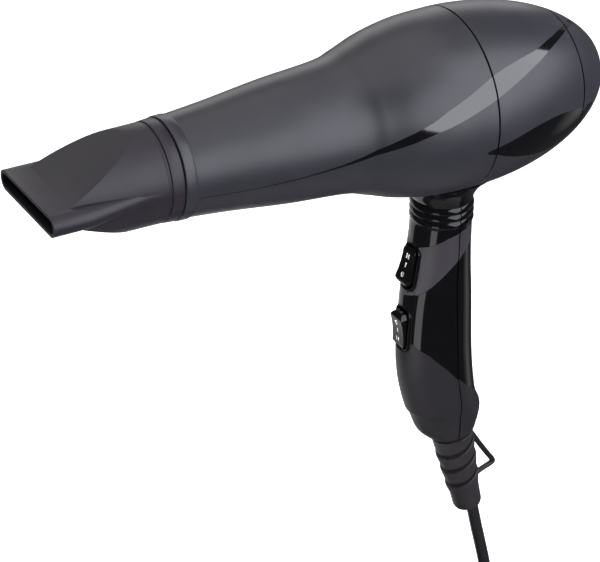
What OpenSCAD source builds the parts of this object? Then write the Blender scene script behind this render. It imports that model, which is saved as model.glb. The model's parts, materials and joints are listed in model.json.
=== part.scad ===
// Hand-held hair dryer with a push-on concentrator nozzle, two three-way rocker switches,
// a pull-off rear filter cap and a mains lead with its spare length folded into a hank.
// Frame: +X towards the rear, +Z up, the symmetry plane is Y = 0.
// The origin is the middle of the hand grip, in the plane where the two housings meet.

/* [Body] */
// Distance from the barrel mouth to the seam between the two housings
barrel_len = 149; // [146:1:152]
// Radius of the body at the seam, its widest place
body_r = 43.7; // [43:0.1:45]
// Distance from the seam to the tip of the rear dome
dome_len = 83.5; // [82:0.5:86]
// Wall thickness of the housings
wall = 2.2; // [1.9:0.1:2.4]
// Height of the barrel axis above the middle of the grip
axis_h = 120; // [118:1:122]
// Outer radius of the spigot that carries the nozzle
spigot_r = 21.2; // [21:0.1:21.4]

/* [Nozzle] */
// Distance from the barrel mouth to the front of the slot
nozzle_len = 64.6; // [60:0.2:70]
// Outer width of the slot
slot_w = 58; // [54:1:60]
// Outer height of the slot
slot_h = 9.8; // [9:0.2:12]
// Wall thickness of the nozzle
nozzle_wall = 1.6; // [1.4:0.1:1.8]

/* [Rear filter cap] */
// Radius of the intake opening
intake_r = 16.6; // [15:0.2:17.4]

/* [Fan and motor] */
// Inner radius of the fan duct
duct_r = 34; // [33.8:0.1:34.4]
// Number of fan blades
fan_blades = 7; // [5:1:9]
// Radius of the motor shaft
shaft_r = 1.6; // [1.5:0.05:1.7]

/* [Heater] */
// Number of heater turns
coil_turns = 9; // [6:1:9]
// Distance between heater turns
coil_pitch = 8.5; // [7.5:0.5:8.5]

/* [Switches] */
// Angle between the middle and an end position of a rocker
rocker_throw = 9; // [6:1:9]
// Length of a rocker
rocker_len = 21; // [20:0.2:21.4]

/* [Handle] */
// Wall thickness of the grip
grip_wall = 2; // [1.8:0.1:2.2]
// Height of one rib on the neck
rib_pitch = 3.7; // [3.4:0.1:3.8]

/* [Mains lead] */
// Diameter of the lead
cord_d = 6.5; // [6:0.1:6.6]
// Length of the straight sides of the hank
hank_side = 66; // [60:1:70]
// Length of a plug pin
pin_len = 19; // [18:0.5:20]

/* [Hidden] */
$fn = 72;
eps = 0.01;

// Clearances: a turning fit, a push fit and the visible gap at a seam
turn_gap = 0.06;
push_gap = 0.1;
seam_gap = 0.5;
shaft_gap = 0.03;

// Barrel: places along the axis as shares of its length, radii as shares of body_r
barrel_shape = [[0, 0.526], [0.17, 0.58], [0.37, 0.662], [0.57, 0.722], [0.65, 0.795], [0.75, 0.905],
    [0.87, 0.98], [1, 1]];
mouth_band_len = 5.6;
mouth_band_r = 23.9;
spigot_len = 10;
spigot_bore_r = 19.3;
lip_len = 4;
lip_r = body_r - 1.2;

// Rear dome and cap, measured from the seam
cap_seam = 55.2;
cap_end = 75.8;
seat_r = 29.6;
spigot_depth = 2.6;
flange_back = cap_seam - 2.3;
flange_t = 2;
ear_r = 23.5;
cap_wall = 2;
grille_t = 1.8;
recess = 4.4;

// Screws
screw_r = 1.5;
head_r = 2.7;
head_h = 1.9;
boss_r = 3;
boss_turns = [60, 180, 300];
duct_screw_r = 38.8;

// Motor and fan, measured from the barrel mouth
motor_front = 128;
motor_back = 166;
motor_r = 22;
can_wall = 1.5;
bearing_r = 4;
bearing_len = 5;
fan_front = 171.4;
fan_len = 12;
fan_r = duct_r - 0.9;
duct_front = 103;
duct_back = 186;
duct_wall = 1.4;
hub_r = 25.5;

// Heater, measured from the barrel mouth
sleeve_r = 20.5;
sleeve_wall = 0.6;
sleeve_front = 4;
sleeve_back = 107;
card_half = 19.6;
card_t = 0.8;
card_front = 9;
card_len = 92;
coil_r = 16.2;
coil_wire = 1.1;
coil_start = 14;

// Handle: height, front edge, rear edge, half width and tilt of each section of the grip
grip_rows = [
    [57.4, -16.1, 13.8, 15.4, 0],
    [46, -16.9, 14, 15.3, 0],
    [31, -19.2, 14.8, 15.2, 0],
    [15, -21.6, 15.9, 15.2, 0],
    [-13, -22.9, 17.1, 15.4, 0],
    [-28, -21.9, 18.2, 15.7, -1],
    [-39, -19.7, 19.6, 15.8, -3],
    [-48, -17, 21.4, 15.6, -5],
    [-56, -13.6, 24.4, 15.1, -8],
    [-62.5, -9.4, 24.4, 14, -11],
    [-68.5, -3.8, 22.6, 12.6, -13.5]
];
neck_top = 68.5;
neck_front = -15.6;
neck_rear = 13.7;
neck_half = 15.4;
rib_out = 0.55;
// Flare from the neck to the body: rise above the neck and how far it stands out
flare_rows = [[0, 0], [3, 0.8], [6, 2.3], [9, 4.3], [12, 7], [15, 10.4]];
// Seam between the two grip shells
grip_seam = [[0, 100], [0, 25], [2.1, -29], [4.7, -43], [4.2, -45.5], [5.6, -62], [6, -90]];
grip_seam_gap = 0.3;
grip_top = 72;
grip_screw_z = [60, -43];
grip_screw_back = 6;
neck_screw_x = [-12.2, 9];
passage_r = 7.6;

// Switches: place of the window's middle on the grip's front and its tilt
switch_at = [[-18.66, 33.73, 8.5], [-22.1, -0.3, 3]];
window_len = 24;
window_w = 13.9;
window_corner = 4.6;
rocker_w = 10.2;
pivot_in = 3;
pivot_r = 1.5;
switch_depth = 16;

// Strain relief, measured down its own leaning axis
relief_top = [10.4, 0, -71.5];
relief_tilt = -13.5;
relief_len = 52;
relief_rings = [9, 18.5, 28];
bore_off = 2.2;
loop_r = 1.25;
loop_points = [[18.4, 0, -70.6], [37.4, 0, -100.1], [20, 0, -107]];

// Lead: the stretch from the gland to the hank, and from the hank to the plug
lead_route = [[24.7, 0, -121.5], [26.6, 0, -129.6], [29, 0, -140], [31.5, -0.5, -151],
    [33.4, -1.9, -162], [34.7, -3.8, -173], [35.2, -5.4, -184], [35.3, -6.3, -194], [35.3, -6.5, -204]];
hank_at = [8.3, 0, -237];
hank_inner = 20.5;
hank_outer = 27;
hank_layers = 3;
tail_route = [[-1.9, -8.2, -287.8], [-9.4, -11.3, -280.3], [-12.2, -13.1, -270], [-12.2, -14.5, -257],
    [-12.2, -14.8, -243], [-12.2, -14.4, -229], [-12.2, -13.6, -216], [-11.7, -13.3, -206],
    [-9.4, -13.2, -195.5],
    [-4, -13.2, -187.5], [3, -13.2, -184], [8.3, -13.2, -183.3], [15, -13.2, -184.4],
    [22, -13.4, -188.6], [27, -14, -196], [28, -15.2, -206], [26, -17.2, -217],
    [22.4, -20, -227.5], [19.6, -22.4, -237], [18.5, -23.4, -247]];
plug_at = [18.5, -23.4, -247];
plug_neck_len = 22;
plug_len = 36;
plug_w = 36;
plug_t = 26;
pin_r = 2.4;
pin_pitch = 19;
pin_in = 5;

// Catmull-Rom curve through the points of a list
function curve_at(a, b, c, d, t) =
    0.5 * (2 * b + (c - a) * t + (2 * a - 5 * b + 4 * c - d) * t * t + (3 * b - a - 3 * c + d) * t * t * t);
function smooth(k, steps) = [
    for (i = [0:len(k) - 2])
        for (s = [0:steps - 1])
            curve_at(k[max(i - 1, 0)], k[i], k[i + 1], k[min(i + 2, len(k) - 1)], s / steps),
    k[len(k) - 1]
];
function reversed(k) = [for (i = [len(k) - 1:-1:0]) k[i]];
function dome_r(x) = body_r * sqrt(1 - pow(x / dome_len, 2));
function spread(a, b, n) = [for (i = [0:n]) a + (b - a) * i / n];

// Outer edge of the barrel as [radius, distance from the mouth]
barrel_edge = [for (p = smooth(barrel_shape, 4)) [p[1] * body_r, p[0] * barrel_len]];
barrel_skin = [for (p = barrel_edge) if (p[1] > mouth_band_len + 1) p];
barrel_lining = [for (p = barrel_edge) if (p[1] > mouth_band_len + 1) [p[0] - wall, p[1]]];

// Draws with z as the distance from the barrel mouth towards the rear; +x then points down
module along_barrel() translate([-barrel_len, 0, axis_h]) rotate([0, 90, 0]) children();

module tube(outer, inner, from, to) translate([0, 0, from]) difference() {
    cylinder(r = outer, h = to - from);
    translate([0, 0, -eps]) cylinder(r = inner, h = to - from + 2 * eps);
}

module around(turns, radius) for (a = turns) rotate([0, 0, a]) translate([radius, 0, 0]) children();

// Screw along +z with its head below z = 0
module screw(len) {
    cylinder(r = screw_r, h = len);
    translate([0, 0, -head_h]) difference() {
        cylinder(r = head_r, h = head_h);
        translate([-0.4, -1.8, -eps]) cube([0.8, 3.6, 1]);
        translate([-1.8, -0.4, -eps]) cube([3.6, 0.8, 1]);
    }
}

module rod(a, b, r) {
    d = b - a;
    translate(a) rotate([0, acos(d[2] / norm(d)), atan2(d[1], d[0])]) cylinder(r = r, h = norm(d));
}

// Round tube swept along points, as one closed polyhedron
module sweep(p, r, sides) {
    n = len(p);
    dir = [for (i = [0:n - 1]) let (d = p[min(i + 1, n - 1)] - p[max(i - 1, 0)]) d / norm(d)];
    side = [for (d = dir) let (s = cross(d, abs(d[1]) < 0.9 ? [0, 1, 0] : [1, 0, 0])) s / norm(s)];
    pts = [for (i = [0:n - 1]) for (j = [0:sides - 1]) let (a = 360 * j / sides)
        p[i] + r * (cos(a) * side[i] + sin(a) * cross(dir[i], side[i]))];
    walls = [for (i = [0:n - 2]) for (j = [0:sides - 1]) let (k = (j + 1) % sides)
        [i * sides + j, i * sides + k, (i + 1) * sides + k, (i + 1) * sides + j]];
    polyhedron(pts, concat(walls, [reversed([for (j = [0:sides - 1]) j])],
        [[for (j = [0:sides - 1]) (n - 1) * sides + j]]), convexity = 6);
}

// Closed skin through oval rings given as [z, front, rear, half width, tilt]
module oval_skin(rows, sides) {
    pts = [for (q = rows) for (j = [0:sides - 1])
        let (a = 360 * j / sides, u = (q[2] - q[1]) / 2 * cos(a))
        [(q[1] + q[2]) / 2 + u * cos(q[4]), q[3] * sin(a), q[0] - u * sin(q[4])]];
    n = len(rows);
    walls = [for (i = [0:n - 2]) for (j = [0:sides - 1]) let (k = (j + 1) % sides, b = i * sides)
        each [[b + j, b + k, b + sides + j], [b + k, b + sides + k, b + sides + j]]];
    polyhedron(pts, concat(walls, [reversed([for (j = [0:sides - 1]) j])],
        [[for (j = [0:sides - 1]) (n - 1) * sides + j]]), convexity = 6);
}

/* ---- nozzle and housings ---- */

module stadium(w, h, t) rotate([90, 0, 90]) linear_extrude(t) union() {
    square([w - h, h], center = true);
    for (s = [-1, 1]) translate([s * (w - h) / 2, 0]) circle(d = h, $fn = 32);
}

// Sloped wedge that planes the nozzle off above and below
module wedge(inset) rotate([90, 0, 0]) linear_extrude(80, center = true) {
    front = slot_h / 2 - 1 - inset;
    back = 30.7 - inset;
    polygon([[8.6 - nozzle_len, front], [0, back], [0, -back], [8.6 - nozzle_len, -front]]);
}

module nozzle_shape(inset) {
    fin_back = 15;
    hull() {
        translate([-nozzle_len, 0, 0]) stadium(slot_w - 2 * inset, slot_h - 2 * inset, 18);
        translate([-fin_back, 0, 0]) stadium(2 * (22 - inset), 5 - inset, 1);
    }
    intersection() {
        translate([-nozzle_len + 8, 0, 0]) rotate([0, 90, 0])
            cylinder(r1 = 22.3 - inset, r2 = 22.9 - inset, h = nozzle_len - 16);
        wedge(inset);
    }
}

module nozzle() color("#262628") translate([-barrel_len, 0, axis_h]) difference() {
    union() {
        nozzle_shape(0);
        rotate([0, 90, 0]) rotate_extrude() polygon([
            [0, -14], [22.7, -14], [23, -7.2], [22.4, -6.8], [22.4, -6.2], [23.2, -5.6],
            [23.5, -1], [23.1, -0.3], [0, -0.3]
        ]);
    }
    translate([-eps, 0, 0]) nozzle_shape(nozzle_wall);
    translate([-nozzle_len - 1, 0, 0]) stadium(slot_w - 2 * nozzle_wall, slot_h - 2 * nozzle_wall, 20);
    rotate([0, -90, 0]) cylinder(r = spigot_r + turn_gap, h = spigot_len + 0.6);
}

module outlet_grille() color("#1c1c1e") along_barrel() {
    outer = spigot_bore_r - 0.05;
    tube(outer, outer - 1.4, -9, -6);
    for (r = [14, 9, 4]) tube(r + 0.5, r - 0.5, -8.6, -6.6);
    for (a = [0:60:300]) rotate([0, 0, a]) translate([3.7, -0.5, -8.4]) cube([outer - 4.4, 1, 1.6]);
}

// Hole in the housings for the leads from the grip
module wire_passage() translate([-2, 0, axis_h - body_r - 5]) cylinder(r = passage_r, h = 14);

module neck_pilots(r) for (x = neck_screw_x) translate([x, 0, grip_top - 1]) cylinder(r = r, h = 12);

module neck_bosses(only) intersection() {
    for (x = neck_screw_x) translate([x, 0, axis_h - body_r + 1]) cylinder(r = boss_r, h = 7);
    translate([only < 0 ? -40 : lip_len + 0.4, -20, 60]) cube([40, 40, 40]);
}

module front_housing() color("#2f2f33") difference() {
    union() {
        along_barrel() {
            rotate_extrude() polygon(concat(
                [[spigot_bore_r, -spigot_len], [spigot_r, -spigot_len], [spigot_r, 0], [mouth_band_r, 0],
                    [mouth_band_r + 0.1, mouth_band_len - 0.8], [mouth_band_r - 0.4, mouth_band_len]],
                barrel_skin,
                [[lip_r, barrel_len], [lip_r, barrel_len + lip_len], [body_r - wall, barrel_len + lip_len]],
                reversed(barrel_lining),
                [[spigot_bore_r + 1.6, 4], [spigot_bore_r, 2]]
            ));
            around(boss_turns, duct_screw_r) translate([0, 0, barrel_len - 22]) cylinder(r = boss_r, h = 19);
        }
        neck_bosses(-1);
    }
    along_barrel() around(boss_turns, duct_screw_r)
        translate([0, 0, barrel_len - 16]) cylinder(r = screw_r, h = 14);
    wire_passage();
    neck_pilots(screw_r);
}

module rear_housing() color("#313135") difference() {
    union() {
        translate([0, 0, axis_h]) rotate([0, 90, 0]) {
            rotate_extrude() polygon(concat(
                [for (x = spread(seam_gap, cap_seam, 16)) [dome_r(x), x]],
                [[seat_r, cap_seam], [seat_r, flange_back], [25.6, flange_back],
                    [25.6, flange_back - flange_t]],
                [for (x = spread(flange_back - flange_t, lip_len + 1.4, 12)) [dome_r(x) - wall, x]],
                [[lip_r + push_gap, lip_len + 0.6], [lip_r + push_gap, seam_gap]]
            ));
            around(boss_turns, ear_r) translate([0, 0, flange_back - flange_t]) {
                cylinder(r = 4, h = flange_t);
                translate([0, -4, 0]) cube([4.5, 8, flange_t]);
            }
        }
        neck_bosses(1);
    }
    translate([0, 0, axis_h]) rotate([0, 90, 0]) around(boss_turns, ear_r)
        translate([0, 0, flange_back - 6]) cylinder(r = screw_r + 0.1, h = 9);
    wire_passage();
    neck_pilots(screw_r);
}

module ring_slots(rings, spokes, from, to) difference() {
    for (r = rings) tube(r[1], r[0], from, to);
    for (i = [0:spokes - 1]) rotate([0, 0, 360 * i / spokes]) translate([0, -0.8, from - 1])
        cube([40, 1.6, to - from + 2]);
}

module rear_filter_cap() color("#2c2b2d") translate([0, 0, axis_h]) rotate([0, 90, 0]) difference() {
    start = cap_seam + seam_gap;
    floor_x = cap_end - recess - grille_t;
    rotate_extrude() polygon(concat(
        [for (x = spread(start, cap_end, 12)) [dome_r(x), x]],
        [[intake_r + 1, cap_end + 0.5], [intake_r, cap_end - 0.4], [intake_r, floor_x + grille_t],
            [0, floor_x + grille_t], [0, floor_x]],
        [for (x = spread(floor_x, start + 2.4, 6)) [dome_r(x) - cap_wall, x]],
        [[seat_r - push_gap - 1.8, start + 1.6], [seat_r - push_gap - 1.8, cap_seam - spigot_depth + 0.6],
            [seat_r - push_gap, cap_seam - spigot_depth + 0.6], [seat_r - push_gap, start]]
    ));
    ring_slots([[3, 5.4], [7.2, 9.8], [11.6, 14.6]], 8, floor_x - 1, floor_x + grille_t + 1);
}

module filter_mesh() color("#b9bcc0") translate([0, 0, axis_h]) rotate([0, 90, 0]) {
    back = cap_end - recess - grille_t;
    bar = 0.5;
    tube(19.6, 18.4, back - 1.2, back);
    intersection() {
        for (s = [-5:5]) translate([3.4 * s - bar / 2, -20, back - 0.9]) cube([bar, 40, bar]);
        translate([0, 0, back - 2]) cylinder(r = 19, h = 3);
    }
    intersection() {
        for (s = [-5:5]) translate([-20, 3.4 * s - bar / 2, back - 0.6]) cube([40, bar, bar]);
        translate([0, 0, back - 2]) cylinder(r = 19, h = 3);
    }
}

/* ---- fan, motor and duct ---- */

module fan() color("#1f1f22") along_barrel() translate([0, 0, fan_front]) difference() {
    union() {
        cylinder(r1 = 10, r2 = 8.4, h = fan_len);
        intersection() {
            cylinder(r = fan_r, h = fan_len);
            for (i = [0:fan_blades - 1]) rotate([0, 0, 360 * i / fan_blades])
                translate([6, 0, fan_len / 2]) rotate([38, 0, 0]) translate([0, -0.8, -12])
                    cube([fan_r, 1.6, 24]);
        }
    }
    translate([0, 0, -1]) cylinder(r = shaft_r, h = fan_len + 2);
}

module motor_shaft() color("#c9ccd0") along_barrel()
    translate([0, 0, motor_front - 4]) cylinder(r = shaft_r, h = fan_front + fan_len - motor_front + 5);

module armature() color("#a8683a") along_barrel() difference() {
    union() {
        translate([0, 0, motor_front + 9]) cylinder(r = 13, h = 16);
        for (i = [0:4]) rotate([0, 0, 72 * i]) translate([7, 0, motor_front + 7]) cylinder(r = 4, h = 20);
        translate([0, 0, motor_front + 7]) cylinder(r = 6, h = 20);
        translate([0, 0, motor_front + 27]) cylinder(r = 5, h = 5);
    }
    translate([0, 0, motor_front]) cylinder(r = shaft_r, h = 60);
}

module motor_can() color("#9aa0a6") along_barrel() difference() {
    translate([0, 0, motor_front]) cylinder(r = motor_r, h = motor_back - motor_front - 1.6);
    translate([0, 0, motor_front + can_wall]) cylinder(r = motor_r - can_wall, h = 40);
    translate([0, 0, motor_front - 1]) cylinder(r = bearing_r, h = 5);
    around([45, 135, 225, 315], 13) translate([0, 0, motor_front - 1]) cylinder(r = 3, h = 5);
}

module motor_end_cap() color("#8d9399") along_barrel() difference() {
    translate([0, 0, motor_back - 1.6]) cylinder(r = motor_r, h = 1.6);
    translate([0, 0, motor_back - 3]) cylinder(r = bearing_r, h = 5);
    around([0, 180], 12) translate([0, 0, motor_back - 3]) cylinder(r = screw_r, h = 5);
}

module field_magnets() color("#4a4a4d") along_barrel() difference() {
    tube(motor_r - can_wall - 0.05, 14, motor_front + 8, motor_front + 27);
    for (s = [-1, 1]) translate([-40, s * 26 - 18, motor_front]) cube([80, 36, 40]);
}

module motor_bearings() color("#c7a35a") along_barrel() {
    tube(bearing_r - 0.01, shaft_r + shaft_gap, motor_front + 0.2, motor_front + bearing_len);
    tube(bearing_r - 0.01, shaft_r + shaft_gap, motor_back - bearing_len, motor_back);
}

module carbon_brushes() color("#2a2a2a") along_barrel() for (s = [-1, 1])
    translate([-1.5, s * 9 - 3.6, motor_front + 27.6]) cube([3, 7.2, 4]);

module motor_damper() color("#1a1a1a") along_barrel()
    tube(hub_r - 1.5 - 0.05, motor_r + 0.05, motor_back - 22, motor_back - 3);

module fan_duct() color("#d8d4c8") along_barrel() difference() {
    union() {
        rotate_extrude() polygon([
            [sleeve_r + push_gap, duct_front], [sleeve_r + push_gap, 107.5], [22, 109], [31, 127],
            [duct_r, 137], [duct_r, duct_back], [duct_r + duct_wall, duct_back],
            [duct_r + duct_wall, barrel_len - 0.4], [41.1, barrel_len - 0.4], [41.1, barrel_len - 2.8],
            [duct_r + duct_wall, barrel_len - 2.8], [duct_r + duct_wall, 137], [32.4, 126],
            [23, 107.5], [22.4, duct_front]
        ]);
        tube(hub_r, hub_r - 1.5, motor_back - 23, motor_back + 2.2);
        tube(hub_r, bearing_r + 0.6, motor_back + 0.2, motor_back + 2.2);
        for (i = [0:6]) rotate([0, 0, 360 * i / 7]) translate([hub_r - 0.6, -0.7, motor_back - 20])
            cube([duct_r - hub_r + 1, 1.4, 20]);
        around(boss_turns, ear_r) translate([0, 0, duct_back - 1.4])
            cylinder(r = 2.9, h = barrel_len + flange_back - flange_t - duct_back + 1.2);
        for (a = boss_turns) rotate([0, 0, a]) translate([ear_r, -2, duct_back - 1.4])
            cube([duct_r + 0.6 - ear_r, 4, 2.4]);
    }
    around(boss_turns, duct_screw_r) translate([0, 0, barrel_len - 4]) cylinder(r = screw_r + 0.1, h = 6);
    around(boss_turns, ear_r) translate([0, 0, duct_back + 3.4]) cylinder(r = screw_r, h = 20);
    around([0, 180], 12) translate([0, 0, motor_back - 1]) cylinder(r = screw_r + 0.1, h = 6);
}

/* ---- heater ---- */

module mica_sleeve() color("#b59a72") along_barrel() tube(sleeve_r, sleeve_r - sleeve_wall, sleeve_front, sleeve_back);

module mica_cards() color("#c8ad80") along_barrel() difference() {
    for (a = [0, 90]) rotate([0, 0, a]) translate([-card_half, -card_t / 2, card_front])
        cube([2 * card_half, card_t, card_len]);
    for (q = [0:3]) rotate([0, 0, 90 * q]) for (i = [0:coil_turns])
        translate([coil_r - 1.5, -1, coil_start + coil_pitch * (i + q / 4) - 1.4]) cube([6, 2, 2.8]);
}

module heater_coil() color("#8a6a55") along_barrel() {
    steps = 18;
    sweep([for (i = [0:coil_turns * steps]) let (a = 360 * i / steps)
        [coil_r * cos(a), coil_r * sin(a), coil_start + coil_pitch * i / steps]], coil_wire, 6);
}

module thermostat() color("#d9d9d4") along_barrel() translate([4, card_t / 2, 82]) {
    cube([6, 2.2, 15]);
    translate([1, 2.2, 3]) cube([4, 1.2, 9]);
}

module thermal_fuse() color("#c2a24a") along_barrel() translate([6, -card_t / 2 - 2, 84]) {
    cylinder(r = 1.9, h = 9);
    translate([0, 0, -6]) cylinder(r = 0.5, h = 21);
}

/* ---- handle ---- */

rib_rows = [for (i = [0:2]) let (z = neck_top - i * rib_pitch) each [
    [z - 0.1, neck_front, neck_rear, neck_half, 0],
    [z - rib_pitch + 0.1, neck_front - rib_out, neck_rear + rib_out, neck_half + rib_out, 0]
]];
flare_up = [for (f = smooth(reversed(flare_rows), 2)) if (f[0] > 0.5)
    [neck_top + f[0], neck_front - f[1], neck_rear + f[1], neck_half + f[1], 0]];
grip_outer = concat(flare_up, rib_rows, smooth(grip_rows, 2));
grip_inner = concat(
    [for (z = [grip_top, neck_top - 2]) [z, neck_front + grip_wall, neck_rear - grip_wall, neck_half - grip_wall, 0]],
    [for (q = grip_rows) if (q[0] > -60)
        [q[0], q[1] + grip_wall, q[2] - grip_wall, q[3] - grip_wall, q[4]]],
    [[-65.5, -5.5, 19.4, 11, -13.5]]
);

// Everything on one side of the grip seam: side -1 is the front, 1 the rear
module grip_side(side) rotate([90, 0, 0]) linear_extrude(80, center = true) polygon(concat(
    [for (p = grip_seam) [p[0] + side * grip_seam_gap / 2, p[1]]],
    [[side * 70, -90], [side * 70, 100]]
));

module relief_frame() translate(relief_top) rotate([0, relief_tilt, 0]) children();

module grip_shell(side) difference() {
    union() {
        intersection() {
            difference() {
                oval_skin(grip_outer, 32);
                oval_skin(grip_inner, 20);
            }
            grip_side(side);
        }
        intersection() {
            union() {
                for (z = grip_screw_z) translate([-30, 0, z]) rotate([0, 90, 0]) cylinder(r = 4.8, h = 60);
                if (side < 0) for (y = [-8, 8]) translate([-30, y, -55]) rotate([0, 90, 0]) cylinder(r = 2.8, h = 32.6);
            }
            oval_skin(grip_outer, 32);
            grip_side(side);
        }
    }
    translate([-30, 0, axis_h]) rotate([0, 90, 0]) cylinder(r = body_r + 0.15, h = 70);
    translate([-2, 0, grip_top - 5]) cylinder(r = passage_r, h = 14);
    for (x = neck_screw_x) translate([x, 0, grip_top]) {
        translate([0, 0, -2]) cylinder(r = screw_r + 0.1, h = 12);
        translate([0, 0, -4]) cylinder(r = head_r + 0.1, h = 4);
    }
    for (z = grip_screw_z) translate([-12, 0, z]) rotate([0, 90, 0]) {
        cylinder(r = screw_r + (side < 0 ? 0 : 0.1), h = 30);
        translate([0, 0, 12 + grip_screw_back]) cylinder(r = head_r + 0.6, h = 40);
    }
    for (y = [-8, 8]) translate([-10, y, -55]) rotate([0, 90, 0]) cylinder(r = screw_r, h = 14);
    translate([10.6, -11.2, -57.9]) cube([5.3, 22.4, 5.8]);
    relief_frame() translate([0, 0, -8]) cylinder(r = 8.1, h = 12);
    relief_frame() translate([0, 0, 3.4]) cylinder(r = 10.6, h = 3.2);
    for (s = switch_at) translate([s[0], 0, s[1]]) rotate([0, s[2], 0]) window(window_len, window_w);
}

module window(len, w, r = window_corner) translate([-8, 0, 0]) rotate([0, 90, 0]) linear_extrude(24) union() {
    square([len - 2 * r, w], center = true);
    square([len, w - 2 * r], center = true);
    for (x = [-1, 1], y = [-1, 1]) translate([x * (len / 2 - r), y * (w / 2 - r)]) circle(r = r, $fn = 40);
}

module handle_front() color("#17171a") grip_shell(-1);

module handle_back() color("#17171a") grip_shell(1);

/* ---- switches ---- */

module at_switch(s) translate([s[0], 0, s[1]]) rotate([0, s[2], 0]) children();

module rocker(s, turn) at_switch(s) translate([pivot_in, 0, 0]) rotate([0, turn, 0]) translate([-pivot_in, 0, 0]) {
    h = rocker_len / 2;
    intersection() {
        rotate([90, 0, 0]) linear_extrude(rocker_w, center = true) polygon([
            [-2.7, h - 2.8], [-2, 0], [-2.7, 2.8 - h], [-2.3, 2 - h], [0.6, -h], [1.4, -h],
            [5.2, -6], [5.2, 6], [1.4, h], [0.6, h], [-2.3, h - 2]
        ]);
        window(rocker_len, rocker_w, 4);
    }
    translate([pivot_in, 0, 0]) rotate([90, 0, 0]) cylinder(r = pivot_r, h = 13.4, center = true);
}

module upper_rocker() color("#101012") rocker(switch_at[0], rocker_throw);

module lower_rocker() color("#101012") rocker(switch_at[1], -rocker_throw);

module switch_body(s) at_switch(s) difference() {
    intersection() {
        window(window_len - 0.3, window_w - 0.3, window_corner - 0.15);
        translate([-0.4, -10, -20]) cube([switch_depth, 20, 40]);
    }
    translate([-8, 0, 0]) window(window_len - 1.6, rocker_w + 0.8, window_corner - 0.9);
    translate([pivot_in, 0, 0]) rotate([90, 0, 0]) cylinder(r = pivot_r + 0.05, h = 20, center = true);
}

module upper_switch_body() color("#232326") switch_body(switch_at[0]);

module lower_switch_body() color("#232326") switch_body(switch_at[1]);

module switch_terminals() color("#c9a64b") for (s = switch_at) at_switch(s)
    for (z = [-9, 0, 9]) translate([switch_depth - 0.4, -2.4, z - 0.4]) cube([5.4, 4.8, 0.8]);

module suppression_capacitor() color("#d8c22a") translate([-9, -6.5, -33]) cube([7, 13, 15]);

module inner_leads() color("#8c2f2a") {
    r = 1.1;
    sweep([[3, 5.8, -49], [6, 7.4, -43], [8, 8, -30], [8, 9, -10], [7, 9, 20], [5, 9, 45], [0, 5.5, 64],
        [-4.6, 4.5, 72], [-4.6, 4.5, 82]], r, 8);
    sweep([[3, -5.8, -49], [6, -7.4, -43], [8, -8, -30], [8, -9, -10], [7, -9, 20], [5, -9, 45],
        [0, -5.5, 64], [-4.6, -4.5, 72], [-4.6, -4.5, 82]], r, 8);
    sweep([[8, 0, -12], [10.5, 0, 0], [11, 0, 20], [10.5, 0, 40], [8.8, 5.6, 50], [8.4, 7, 60],
        [4, 3.2, 69], [2, 1.6, 76], [2, 1.6, 82]], r, 8);
    sweep([[9, -5, 22], [10.5, -4.4, 36], [8.8, -5.6, 50], [8.4, -7, 60], [4, -3.2, 69], [2, -1.8, 76],
        [2, -1.8, 82]], r, 8);
}

/* ---- cord entry ---- */

module cord_clamp() color("#3a3a3d") difference() {
    translate([10.8, -11, -57.6]) cube([3, 22, 5.2]);
    for (y = [-8, 8]) translate([5, y, -55]) rotate([0, 90, 0]) cylinder(r = screw_r + 0.1, h = 20);
    relief_frame() translate([bore_off, 0, -10]) cylinder(r = cord_d / 2 + 0.05, h = 40);
}

module strain_relief() color("#1d1d1f") difference() {
    union() {
        relief_frame() rotate_extrude() polygon([
            [0, -relief_len], [5.8, -relief_len], [7.6, -relief_len + 1.8], [8.5, -relief_rings[2] - 2],
            [7.2, -relief_rings[2] - 1.4], [7.2, -relief_rings[2] + 0.6], [8.8, -relief_rings[2] + 1],
            [9.5, -relief_rings[1] - 2], [8, -relief_rings[1] - 1.4], [8, -relief_rings[1] + 0.6],
            [9.6, -relief_rings[1] + 1], [10.3, -relief_rings[0] - 2], [8.8, -relief_rings[0] - 1.4],
            [8.8, -relief_rings[0] + 0.6], [10.4, -relief_rings[0] + 1], [11.2, -0.2], [8, -0.2],
            [8, 3.5], [10.4, 3.5], [10.4, 6.4], [7, 7], [0, 7]
        ]);
        rod(loop_points[0], loop_points[1], loop_r);
        rod(loop_points[2], loop_points[1], loop_r);
        translate(loop_points[1]) sphere(r = loop_r + 0.2, $fn = 40);
    }
    relief_frame() translate([bore_off, 0, -relief_len - 2]) cylinder(r = cord_d / 2 + 0.02, h = relief_len + 12);
}

module cord_entry() color("#151517") relief_frame() translate([bore_off, 0, -relief_len])
    cylinder(r = cord_d / 2, h = relief_len + 21);

/* ---- fasteners ---- */

module housing_screws() color("#b0b3b8") translate([0, 0, axis_h]) rotate([0, 90, 0])
    around(boss_turns, ear_r) translate([0, 0, flange_back]) mirror([0, 0, 1]) screw(12);

module duct_screws() color("#b0b3b8") along_barrel() around(boss_turns, duct_screw_r)
    translate([0, 0, barrel_len - 0.4]) mirror([0, 0, 1]) screw(12);

module motor_screws() color("#b0b3b8") along_barrel() around([0, 180], 12)
    translate([0, 0, motor_back + 2.2]) mirror([0, 0, 1]) screw(3.6);

module handle_screws() color("#b0b3b8") for (z = grip_screw_z)
    translate([grip_screw_back, 0, z]) rotate([0, -90, 0]) screw(17);

module neck_screws() color("#b0b3b8") for (x = neck_screw_x)
    translate([x, 0, grip_top]) screw(10);

module clamp_screws() color("#b0b3b8") for (y = [-8, 8])
    translate([13.8, y, -55]) rotate([0, -90, 0]) screw(18);

/* ---- mains lead ---- */

module cord_tube() color("#121214") sweep(smooth(lead_route, 1), cord_d / 2, 10);

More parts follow.
